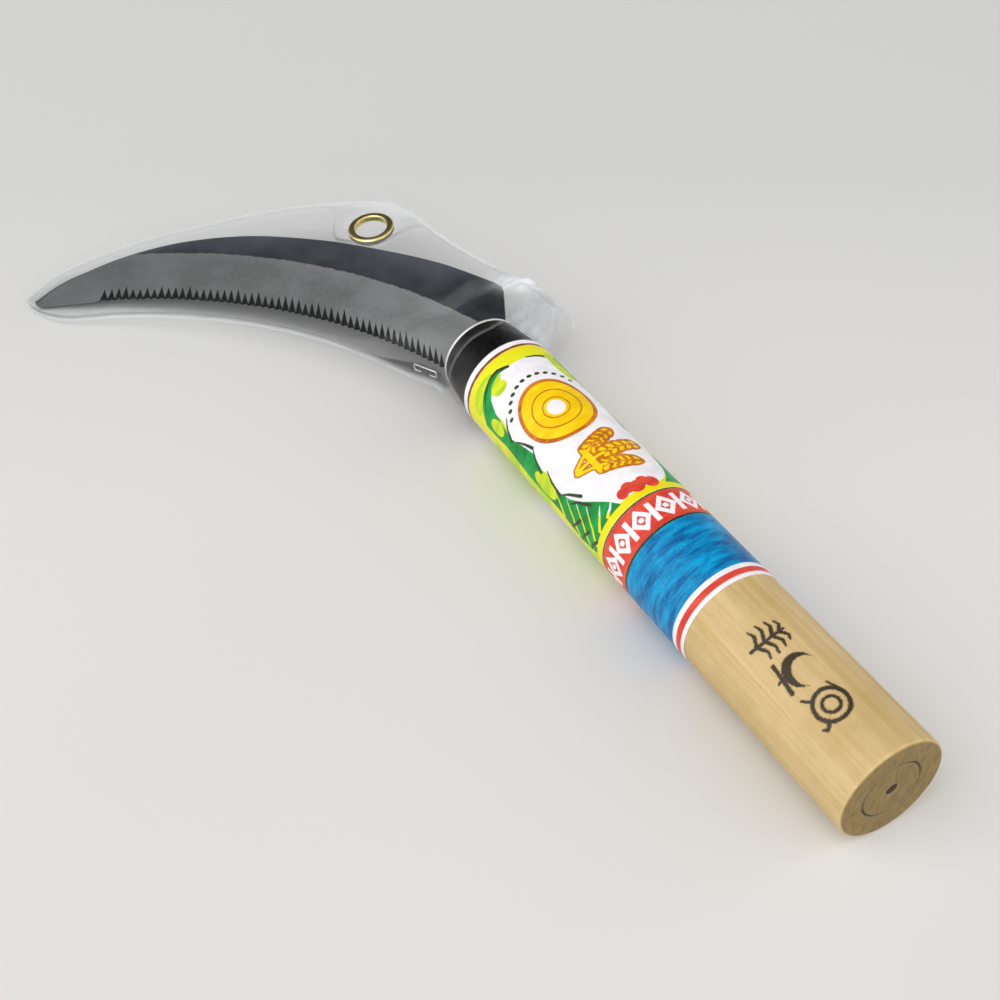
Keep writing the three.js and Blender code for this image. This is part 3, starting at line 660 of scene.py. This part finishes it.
def build_label():
    rows = round((LABEL_FRONT_X - LABEL_BACK_X) / LABEL_CELL)
    columns = round(2 * math.pi * HANDLE_RADIUS / LABEL_CELL)
    x = np.linspace(LABEL_BACK_X, LABEL_FRONT_X, rows + 1)
    angles = np.linspace(-math.pi, math.pi, columns, endpoint=False)
    grid_x, grid_angle = np.meshgrid(x, angles, indexing="ij")
    lift = LABEL_LIFT + 0.012 * wavy(grid_x, grid_angle * HANDLE_RADIUS, 14, 3)
    seam = smooth_step(math.pi - np.abs(grid_angle), 0.0, 0.02) * (grid_angle > 0) + (grid_angle <= 0)
    lift += 0.1 * (1 - seam) + 0.1 * smooth_step(grid_angle, 2.72, 2.74)
    outer = round_handle(grid_x, handle_radius(grid_x) + lift, grid_angle)
    inner = round_handle(x[[0, -1], None], handle_radius(x[[0, -1]])[:, None] + 0.05, angles[None, :])
    points = np.concatenate([inner[:1], outer, inner[1:]])
    faces = grid_faces(rows + 3, columns, wrap_rows=True, wrap_columns=True)
    drawing = Drawing(grid_x, grid_angle * HANDLE_RADIUS, HANDLE_RADIUS)
    inks = {name: np.clip(shape, -2, 2) for name, shape in label_print(drawing).items()}
    inks = {name: np.concatenate([shape[:1], shape, shape[-1:]]) for name, shape in inks.items()}
    label = make_piece("paper_label", points, faces, "sickle", "label", inks, 60)
    label.data.materials.append(paper_finish(INKS))


# ---------------------------------------------------------------- ferrule


def build_ferrule():
    slope = (HANDLE_FRONT_RADIUS - FERRULE_FRONT_RADIUS) / (FERRULE_FRONT_X - FERRULE_BACK_X)
    back, front = FERRULE_BACK_X, FERRULE_FRONT_X
    inner, outer = HANDLE_FRONT_RADIUS - 0.8, HANDLE_FRONT_RADIUS
    loop = [(inner, back), (inner + 0.3, back), (outer - 0.15, back + 0.03), (outer, back + 0.2)]
    loop += [(outer - slope * (x - back), x) for x in np.linspace(back + 1, front - 1.05, 22)]
    bead = FERRULE_FRONT_RADIUS - 0.22
    turn = np.radians(np.linspace(-60, 150, 13))
    loop += [(bead + 0.47 * math.cos(t), front - 0.5 + 0.49 * math.sin(t)) for t in turn]
    mouth = FERRULE_FRONT_RADIUS - 0.8
    loop += [(mouth, front - 0.35), (mouth + 0.3 * slope, front - 1.2)]
    loop = np.asarray(loop)
    angles = np.linspace(0, 2 * math.pi, 160, endpoint=False)
    radius, x = loop[:, :1] + 0 * angles, loop[:, 1:] + 0 * angles
    dent = 0.05 * wavy(x, angles * 12, 9, 5)
    body = smooth_step(x, back + 0.5, back + 2) * (1 - smooth_step(x, front - 2, front - 1.1))
    outside = (np.arange(len(loop)) > 2)[:, None] & (np.arange(len(loop)) < 27)[:, None]
    radius = radius - np.abs(dent) * body * outside
    lip = smooth_step(x, front - 1.15, front - 0.85) * (radius > FERRULE_FRONT_RADIUS - 0.75)
    points = round_handle(x, radius, angles[None, :])
    faces = grid_faces(len(loop), len(angles), wrap_rows=True, wrap_columns=True)
    piece = make_piece("iron_ferrule", points, faces, "sickle", "ferrule", {"lip": lip}, 45)
    piece.data.materials.append(ferrule_finish())


# ---------------------------------------------------------------- blade

EDGE_CENTRE = (128.4, 166.7)
EDGE_RADIUS = 162.1
EDGE_HEEL_ANGLE = math.radians(-73.8)
EDGE_LAST_TOOTH_ANGLE = math.radians(-33)
EDGE_TIP_ANGLE = math.radians(-27)
BEVEL_CENTRE = (137.7, 155.1)
BEVEL_RADIUS = 167.3
BEVEL_SLOPE = 1.05 / 19.4
HALF_THICKNESS = 0.7
HEEL_SHARE = 0.14
TANG_HALF_WIDTH = 5.0
TOOTH_COUNT = 52
TOOTH_COLUMNS = 14
NOTCH_DEPTH = 0.95
GROOVE_DEPTH = 0.42
GROOVE_LEAN = np.array([0.88, -0.475])
SPINE = [
    (175, -10.2), (180.7, -12.9), (190.6, -18.3), (192.6, -19), (196, -18), (213.2, -10.1), (230.2, 1),
    (245.8, 13.2), (261.5, 29.4), (272.2, 47), (277.4, 64), (278.4, 78), (278, 86), (275.6, 93.9),
]


def file_cut(place, share):
    """How deep the file cut is, 0 to 1: place runs from tooth to tooth and share along the cut."""
    half_width = 0.74 * np.clip(1.02 - share, 0, 1) ** 1.1 + 1e-3
    return np.clip(1.15 * (1 - np.abs(place - 0.45) / half_width), 0, 1)


def build_blade():
    teeth = np.arange(TOOTH_COUNT * TOOTH_COLUMNS) / TOOTH_COLUMNS
    step = (EDGE_LAST_TOOTH_ANGLE - EDGE_HEEL_ANGLE) / TOOTH_COUNT
    angle = EDGE_HEEL_ANGLE + teeth * step
    plain = np.linspace(EDGE_LAST_TOOTH_ANGLE, EDGE_TIP_ANGLE, 60)
    angle = np.concatenate([angle, plain])
    place = np.concatenate([teeth % 1.0, np.full(len(plain), 9.0)])
    tooth = np.concatenate([teeth.astype(int), np.full(len(plain), TOOTH_COUNT - 1)])
    strength = random.uniform(0.85, 1.1, TOOTH_COUNT)[tooth][:, None]
    cut_length = random.uniform(0.74, 0.98, TOOTH_COUNT)[tooth][:, None]
    reach = np.interp(angle, [EDGE_HEEL_ANGLE, EDGE_LAST_TOOTH_ANGLE], [8.2, 5.6])
    edge = on_arc(EDGE_CENTRE, EDGE_RADIUS, angle)
    share = (angle - EDGE_HEEL_ANGLE) / (EDGE_TIP_ANGLE - EDGE_HEEL_ANGLE)
    heel_bend = np.array(SPINE[:4], float)
    curved = spline(np.array(SPINE[4:], float), 200)
    spine_line = np.concatenate([heel_bend, curved])
    length = np.concatenate([[0], np.cumsum(np.hypot(*np.diff(spine_line, axis=0).T))])
    corner = length[3]
    past_heel = corner + (length[-1] - corner) * (share - HEEL_SHARE) / (1 - HEEL_SHARE)
    wanted = np.where(share < HEEL_SHARE, corner * share / HEEL_SHARE, past_heel)
    wanted[np.argmin(np.abs(share - HEEL_SHARE))] = corner
    spine = np.column_stack([np.interp(wanted, length, spine_line[:, k]) for k in (0, 1)])

    # Columns run from the edge along the file cuts, then on to the spine.
    turn_in = edge + GROOVE_LEAN * reach[:, None]
    too_far = smooth_step(share, 0.86, 1.0)[:, None]
    turn_in = turn_in * (1 - too_far) + (edge + (spine - edge) * 0.3) * too_far
    toward = spine - turn_in
    a = np.sum(toward**2, 1)
    from_bevel = turn_in - np.array(BEVEL_CENTRE)
    b = 2 * np.sum(toward * from_bevel, 1)
    c = np.sum(from_bevel**2, 1) - BEVEL_RADIUS**2
    crossing = (-b + np.sqrt(np.maximum(b * b - 4 * a * c, 0))) / (2 * a)
    crossing = np.clip(crossing, 0.12, 0.9)[:, None, None]
    cuts = np.linspace(0, 1, 9)[None, :, None]
    flat = np.linspace(0, 1, 10)[None, 1:, None]
    back = np.linspace(0, 1, 7)[None, 1:, None]
    first = edge[:, None] * (1 - cuts) + turn_in[:, None] * cuts
    second = turn_in[:, None] + toward[:, None] * crossing * flat
    third = turn_in[:, None] + toward[:, None] * (crossing + (1 - crossing) * back)
    top = np.concatenate([first, second, third], 1)
    along_cut = np.concatenate([cuts[0, :, 0], np.ones(flat.size + back.size)])
    inward = np.array(EDGE_CENTRE) - edge
    inward /= np.hypot(*inward.T)[:, None]
    depth = strength * file_cut(place[:, None], along_cut[None, :] / cut_length)
    push = NOTCH_DEPTH * depth * np.clip(1 - along_cut * 2.2, 0, 1) ** 1.3
    top = top - inward[:, None] * push[..., None]
    from_bevel = np.hypot(top[..., 0] - BEVEL_CENTRE[0], top[..., 1] - BEVEL_CENTRE[1])
    ground = BEVEL_RADIUS - from_bevel
    near_tang = smooth_step(top[..., 0], 172.6, 176.5)
    height = HALF_THICKNESS - BEVEL_SLOPE * np.clip(ground, 0, None) * near_tang
    groove = np.clip(depth, 0, 1) * near_tang
    height = height - GROOVE_DEPTH * groove * np.clip(1.1 - along_cut, 0, 1)[None, :]
    height = height + 0.02 * wavy(top[..., 0], top[..., 1], 11, 11) * (1 - groove) * near_tang
    upper = np.dstack([top, np.maximum(height, 0.12 - HALF_THICKNESS)])

    # The spine is rounded over, and the back is flat with a narrow ground strip at the edge.
    outward = spine - edge
    outward /= np.hypot(*outward.T)[:, None]
    round_over = np.radians([20, 60, 90, 120, 160])
    over_levels = 0.66 * np.cos(round_over)
    over_place = spine[:, None] + outward[:, None] * (0.25 * np.sin(round_over) - 0.05)[:, None]
    over = np.dstack([over_place, over_levels + np.zeros((len(spine), 1))])
    under_share = np.array([0.0, 0.1, 0.35, 0.7, 0.9, 1.0])[None, :, None]
    start = upper[:, 0, :2][:, None]
    under = spine[:, None] * (1 - under_share) + start * under_share
    under = np.dstack([under, np.full(under.shape[:2], -HALF_THICKNESS)])
    rings = np.concatenate([upper, over, under], 1)
    under_ground = 2.6 - np.hypot(*(under[..., :2] - start).transpose(2, 0, 1))
    ground_all = [ground, np.full(over.shape[:2], -3.0), np.clip(under_ground, -6, 3)]
    ground_all = np.concatenate(ground_all, 1)
    # Mask for painted shade: the file cuts, and the underside of the toothed edge.
    painted_cut_and_edge_shade = np.zeros(ground_all.shape)
    painted_cut_and_edge_shade[:, : groove.shape[1]] = groove
    painted_cut_and_edge_shade[:, -1] = 1 - smooth_step(angle, EDGE_LAST_TOOTH_ANGLE, EDGE_LAST_TOOTH_ANGLE + 0.01)

    # The tang: narrowing rings from the ferrule's mouth into the handle.
    half = TANG_HALF_WIDTH
    tang = [(125 - half * math.sin(t), half * math.cos(t)) for t in np.radians([90, 85, 70, 50, 25])]
    tang += [(125, half), (135, half), (150, half), (163, half), (168, 7.6), (172.5, 10.0), (172.9, 10.2)]
    tang_x, tang_half = np.array(tang).T[..., None]
    counts = upper.shape[1], over.shape[1], under.shape[1]
    across = [np.linspace(1, -1, counts[0]), np.full(counts[1], -1), np.linspace(-1, 1, counts[2])]
    levels = [np.full(counts[0], HALF_THICKNESS), over_levels, np.full(counts[2], -HALF_THICKNESS)]
    across, levels = np.concatenate(across), np.concatenate(levels)
    tang_rings = np.dstack(np.broadcast_arrays(tang_x, across * tang_half, levels))
    rings = np.concatenate([tang_rings, rings])
    painted_cut_and_edge_shade = np.concatenate([np.zeros(tang_rings.shape[:2]), painted_cut_and_edge_shade])
    ground_all = np.concatenate([np.full(tang_rings.shape[:2], -3.0), ground_all])

    # The point is closed with a small rounded nose.
    last = rings[-1]
    middle = (last[0] + last[len(along_cut) - 1]) / 2
    middle[2] = 0
    ahead = np.array([-inward[-1][1], inward[-1][0], 0])
    if np.dot(ahead[:2], edge[-1] - edge[-2]) < 0:
        ahead = -ahead
    nose = []
    for turn in np.radians([30, 55, 75, 90]):
        ring = middle + (last - middle) * math.cos(turn) + ahead * 1.3 * math.sin(turn)
        ring[:, 2] = last[:, 2] * (0.4 + 0.6 * math.cos(turn))
        nose.append(ring)
    rings = np.concatenate([rings, nose])
    painted_cut_and_edge_shade = np.concatenate([painted_cut_and_edge_shade, np.zeros((len(nose), rings.shape[1]))])
    ground_all = np.concatenate([ground_all, np.repeat(ground_all[-1:], len(nose), 0)])

    count, around = rings.shape[:2]
    faces = grid_faces(count, around, wrap_columns=True)
    faces += [list(range(around)), list(range((count - 1) * around, count * around))]
    points = from_blade_plane(rings)
    from_spine = np.abs(np.linspace(0, around, around) - upper.shape[1])
    # A lighter band along the spine past the heel: painted reflection.
    painted_spine_sheen = np.clip(1 - from_spine / 7, 0, 1)[None, :] * smooth_step(rings[..., 0], 196, 212)
    painted_spine_sheen = painted_spine_sheen * (0.55 + 0.45 * wavy(rings[..., 0], rings[..., 1], 26, 61))
    attributes = {"ground": np.clip(ground_all, -6, 25), "groove": painted_cut_and_edge_shade, "painted_spine_sheen": painted_spine_sheen}
    blade = make_piece("sickle_blade", points, faces, "sickle", "blade", attributes, 32)
    cut_out(blade, *prism(on_arc(PIN_CENTRE, PIN_HOLE_RADIUS, PIN_HOLE_TURN), 3))
    blade.data.materials.append(blade_finish())


# ---------------------------------------------------------------- film cover

FILM_THICKNESS = 0.28
FILM_HALF_GAP = 0.15
FILM_OUTER = [
    (166, -27.2), (173, -27.4), (181, -26.9), (192, -25.2), (206, -21.4), (222, -17.8), (236, -16.2),
    (246, -13.6), (253, -8), (260, 2), (268, 16), (274, 31), (279, 46), (282.5, 60), (284, 74),
    (283.4, 86), (279, 96),
]
FILM_ROWS = 260
FILM_WELD = 1.4
FILM_MOUTH_HEIGHT, FILM_FLAT_HEIGHT = 13.1, 1.05
FILM_MOUTH_RISE, FILM_FLAT_RISE = 13.0, 3.0
FILM_EYELET_WELD, FILM_EYELET_REACH, FILM_EYELET_RISE = 19.9, 12.5, 1.6
FILM_STAPLE_WELD, FILM_STAPLE_REACH = 6.0, 9.0
CRUMPLE_CENTRE, CRUMPLE_REACH = (181, -20.3), (7.6, 6.4)
EYELET_CENTRE = (241.1, -2.0)
EYELET_HOLE_RADIUS = 5.2
EYELET_BORDER = (249.0, -11.8)
STAPLE_CENTRE = (176.4, 15.6)
STAPLE_TURN = math.radians(25)
STAPLE_HALF_LENGTH = 3.75
STAPLE_LEVEL = 1.05
STAPLE_WIRE_RADIUS = 0.25
STAPLE_CORNER = 0.4
STAPLE_HOLE_RADIUS = 0.5


def film_rise(distance, weld, rise):
    run = np.clip((distance - weld) / rise, 0, 1)
    return np.sqrt(1 - (1 - run) ** 2)


def film_flatness(x):
    """0 at the bulging mouth, 1 where the film lies flat on the blade."""
    return smooth_step(x, 170, 208)


def between(low, high, share):
    return low + (high - low) * share


def build_film(side, name, node):
    inner = [(166, 16.2), (171, 17.3)]
    inner += on_arc(EDGE_CENTRE, EDGE_RADIUS - 7.8, np.radians(np.linspace(-71.5, -30, 9))).tolist()
    inner += [(269.5, 95.4), (276, 97.2)]
    outer_line = spline(FILM_OUTER, FILM_ROWS + 1)
    inner_line = spline(inner, FILM_ROWS + 1)
    width = np.hypot(*(outer_line - inner_line).T)[:, None]
    near_eyelet = np.hypot(*(outer_line - EYELET_BORDER).T)[:, None] / FILM_EYELET_REACH
    near_eyelet = np.exp(-(near_eyelet**4))
    near_staple = np.exp(-(((inner_line[:, :1] - STAPLE_CENTRE[0]) / FILM_STAPLE_REACH) ** 2))
    outer_weld = between(FILM_WELD, FILM_EYELET_WELD, near_eyelet)
    inner_weld = between(FILM_WELD, FILM_STAPLE_WELD, near_staple)

    # Columns lie closest together where the film rises from its welds.
    steps = np.concatenate([np.linspace(0, 1, 5)[:-1] * 0.98 - 1, np.linspace(0, 1, 16) ** 1.8])
    rise_outer = between(FILM_MOUTH_RISE, FILM_FLAT_RISE, film_flatness(outer_line[:, :1]))
    rise_outer = between(rise_outer, FILM_EYELET_RISE, near_eyelet)
    rise_inner = between(FILM_MOUTH_RISE, FILM_FLAT_RISE, film_flatness(inner_line[:, :1]))
    fit = np.minimum(1, 0.9 * width / (outer_weld + rise_outer + inner_weld + rise_inner))
    from_outer = fit * (outer_weld + np.where(steps < 0, steps * outer_weld, steps * rise_outer))
    from_inner = fit * (inner_weld + np.where(steps < 0, steps * inner_weld, steps * rise_inner))
    middle = np.linspace(0, 1, 30)[None, 1:-1]
    low, high = from_outer[:, -1:], width - from_inner[:, -1:]
    v = [from_outer, between(low, high, middle), (width - from_inner)[:, ::-1]]
    v = np.concatenate(v, 1) / width
    place = outer_line[:, None] * (1 - v[..., None]) + inner_line[:, None] * v[..., None]
    x, y = place[..., 0], place[..., 1]
    flatness = film_flatness(x)
    height = between(FILM_MOUTH_HEIGHT, FILM_FLAT_HEIGHT, flatness)
    rise = between(FILM_MOUTH_RISE, FILM_FLAT_RISE, flatness)
    from_outer, from_inner = v * width, (1 - v) * width
    risen = film_rise(from_outer, outer_weld, between(rise, FILM_EYELET_RISE, near_eyelet))
    risen = risen * film_rise(from_inner, inner_weld, rise)
    z = FILM_HALF_GAP + (height - FILM_HALF_GAP) * risen
    free = risen * np.clip(risen * 4, 0, 1)
    folds = 0.5 + 0.5 * wavy(x * 0.55 + y * 0.9, x * 0.3, 9, 20 + side)
    crumple = np.hypot((x - CRUMPLE_CENTRE[0]) / CRUMPLE_REACH[0], (y - CRUMPLE_CENTRE[1]) / CRUMPLE_REACH[1])
    crumple = np.exp(-(crumple**3))
    z = z + free * folds * (0.22 + 0.25 * (1 - flatness))
    z = z + free * crumple * (1.0 + 1.1 * wavy(x, y, 4.5, 40 + side))
    sheet = np.dstack([place, side * z])
    du = np.gradient(sheet, axis=0)
    dv = np.gradient(sheet, axis=1)
    normal = np.cross(du, dv)
    normal /= np.linalg.norm(normal, axis=-1, keepdims=True)
    normal *= np.sign(normal[..., 2:]) * side
    outside = sheet + normal * FILM_THICKNESS
    weld_mark = np.maximum(np.clip(1.6 - from_outer, 0, 1), np.clip(1.6 - from_inner, 0, 1))
    mouth = 0.08 * np.clip(1 - (x - 166) / 1.2, 0, 1)
    from_hole = np.hypot(x - EYELET_CENTRE[0], y - EYELET_CENTRE[1])
    pinch = 0.1 * near_eyelet * np.clip(1 - (from_hole - 6.5) / 4, 0, 1)
    milk = 1.1 * crumple * (0.75 + 0.35 * wavy(x, y, 4.2, 50 + side))
    haze = np.maximum.reduce([0.16 * weld_mark, mouth, pinch, milk])
    rows, columns = x.shape
    points = from_blade_plane(np.concatenate([sheet.reshape(-1, 3), outside.reshape(-1, 3)]))
    faces = np.array(grid_faces(rows, columns))
    count = rows * columns
    border = list(range(columns))
    border += [i * columns + columns - 1 for i in range(1, rows)]
    border += [(rows - 1) * columns + j for j in range(columns - 2, -1, -1)]
    border += [i * columns for i in range(rows - 2, 0, -1)]
    rim = [[a, b, count + b, count + a] for a, b in zip(border, border[1:] + border[:1])]
    all_faces = faces.tolist() + (faces + count).tolist() + rim
    haze = np.concatenate([haze.ravel(), haze.ravel()])
    film = make_piece(name, points, all_faces, "cover", node, {"haze": haze}, 60)
    turn = np.linspace(0, 2 * math.pi, 48, endpoint=False)
    cut_out(film, *prism(on_arc(EYELET_CENTRE, EYELET_HOLE_RADIUS, turn), 5))
    along = np.array([math.cos(STAPLE_TURN), math.sin(STAPLE_TURN)])
    for end in (-1, 1):
        leg = np.array(STAPLE_CENTRE) + end * STAPLE_HALF_LENGTH * along
        cut_out(film, *prism(on_arc(leg, STAPLE_HOLE_RADIUS, turn[::3]), 2))
    return film


def build_eyelet():
    roll = [(4.85, 0.4), (4.86, 0.62), (4.95, 0.85), (5.15, 1.0), (5.5, 1.08), (5.95, 1.08), (6.4, 0.98)]
    roll += [(6.75, 0.8), (6.9, 0.62), (6.86, 0.52), (6.5, 0.48), (5.6, 0.48), (5.15, 0.46), (5.1, 0.4)]
    loop = np.array(roll[::-1] + [(radius, -level) for radius, level in roll])
    turn = np.linspace(0, 2 * math.pi, 96, endpoint=False)
    x = EYELET_CENTRE[0] + loop[:, :1] * np.cos(turn)
    y = EYELET_CENTRE[1] + loop[:, :1] * np.sin(turn)
    points = from_blade_plane(np.dstack([x, y, loop[:, 1:] + 0 * x]))
    faces = grid_faces(len(loop), len(turn), wrap_rows=True, wrap_columns=True)
    piece = make_piece("brass_eyelet", points, faces, "cover", "eyelet", None, 50)
    piece.data.materials.append(metal_finish("brass", (205, 188, 118), (238, 224, 160), 0.5, 0.3, 0.03))


def build_staple():
    """Round wire along a bent path: the crown above, two legs, and feet folded in below."""
    bend_x, bend_z = STAPLE_HALF_LENGTH - STAPLE_CORNER, STAPLE_LEVEL - STAPLE_CORNER
    path = [(-1.4, 0.08 - STAPLE_LEVEL), (-2.4, -STAPLE_LEVEL)]
    for centre, start in (((-bend_x, -bend_z), 270), ((-bend_x, bend_z), 180)):
        path += on_arc(centre, STAPLE_CORNER, np.radians(np.linspace(start, start - 90, 6))).tolist()
    path.append((-0.8, STAPLE_LEVEL))
    path = np.array(path + [(-x, z) for x, z in path[::-1]])
    ahead = np.gradient(path, axis=0)
    ahead /= np.hypot(*ahead.T)[:, None]
    across = np.column_stack([-ahead[:, 1], ahead[:, 0]])
    turn = np.linspace(0, 2 * math.pi, 14, endpoint=False)
    ring = path[:, None] + STAPLE_WIRE_RADIUS * np.cos(turn)[None, :, None] * across[:, None]
    along, level = ring[..., 0], ring[..., 1]
    aside = STAPLE_WIRE_RADIUS * np.sin(turn)[None, :] + 0 * along
    cos, sin = math.cos(STAPLE_TURN), math.sin(STAPLE_TURN)
    x = STAPLE_CENTRE[0] + along * cos - aside * sin
    y = STAPLE_CENTRE[1] + along * sin + aside * cos
    points = from_blade_plane(np.dstack([x, y, level]))
    faces = grid_faces(len(path), len(turn), wrap_columns=True)
    faces += [list(range(len(turn))), list(range((len(path) - 1) * len(turn), len(path) * len(turn)))]
    piece = make_piece("wire_staple", points, faces, "cover", "staple", None, 50)
    zinc = metal_finish("staple_wire", (185, 187, 190), (215, 216, 218), 1.0, 0.25, 0.01)
    piece.data.materials.append(zinc)


build_handle()
build_label()
build_ferrule()
build_blade()
clear_film = film_finish()
for side, name, node in ((1, "film_top", "cover_top_film"), (-1, "film_bottom", "cover_bottom_film")):
    build_film(side, name, node).data.materials.append(clear_film)
build_eyelet()
build_staple()

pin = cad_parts["tang_pin"]
pin.data.materials.clear()
pin.data.materials.append(metal_finish("pin_steel", (110, 110, 112), (150, 150, 150), 0.7, 0.35, 0.03))

# ---------------------------------------------------------------- table and light

TABLE_HALF_SIZE = 4
mesh = bpy.data.meshes.new("table")
corners = [(-1, -1), (1, -1), (1, 1), (-1, 1)]
mesh.from_pydata([(x * TABLE_HALF_SIZE, y * TABLE_HALF_SIZE, 0) for x, y in corners], [], [(0, 1, 2, 3)])
table = add_object("table", mesh)
table.data.materials.append(table_finish())

world = bpy.data.worlds.new("studio")
bpy.context.scene.world = world
world.use_nodes = True
nodes, links = world.node_tree.nodes, world.node_tree.links
background = nodes["Background"]
background.inputs["Color"].default_value = (1.0, 0.99, 0.975, 1)
# The room is darker in one direction, so that the film and the blade don't mirror it brightly.
direction = nodes.new("ShaderNodeTexCoord")
toward_dark = nodes.new("ShaderNodeVectorMath")
toward_dark.operation = "DOT_PRODUCT"
toward_dark.inputs[1].default_value = Vector((0.78, -0.22, 0.58)).normalized()
strength = nodes.new("ShaderNodeMapRange")
strength.inputs["From Min"].default_value = 0.38
strength.inputs["From Max"].default_value = 0.82
strength.inputs["To Min"].default_value = 1.38
strength.inputs["To Max"].default_value = 0.05
links.new(direction.outputs["Generated"], toward_dark.inputs[0])
links.new(toward_dark.outputs["Value"], strength.inputs["Value"])
links.new(strength.outputs["Result"], background.inputs["Strength"])

light = bpy.data.lights.new("key", "AREA")
light.shape = "DISK"
light.size = 1.6
light.energy = 8.5
light.color = (1.0, 0.985, 0.965)
lamp = add_object("key", light)
lamp.location = (0.15, 0.85, 1.5)
lamp.rotation_mode = "QUATERNION"
lamp.rotation_quaternion = (-lamp.location).to_track_quat("-Z", "Y")
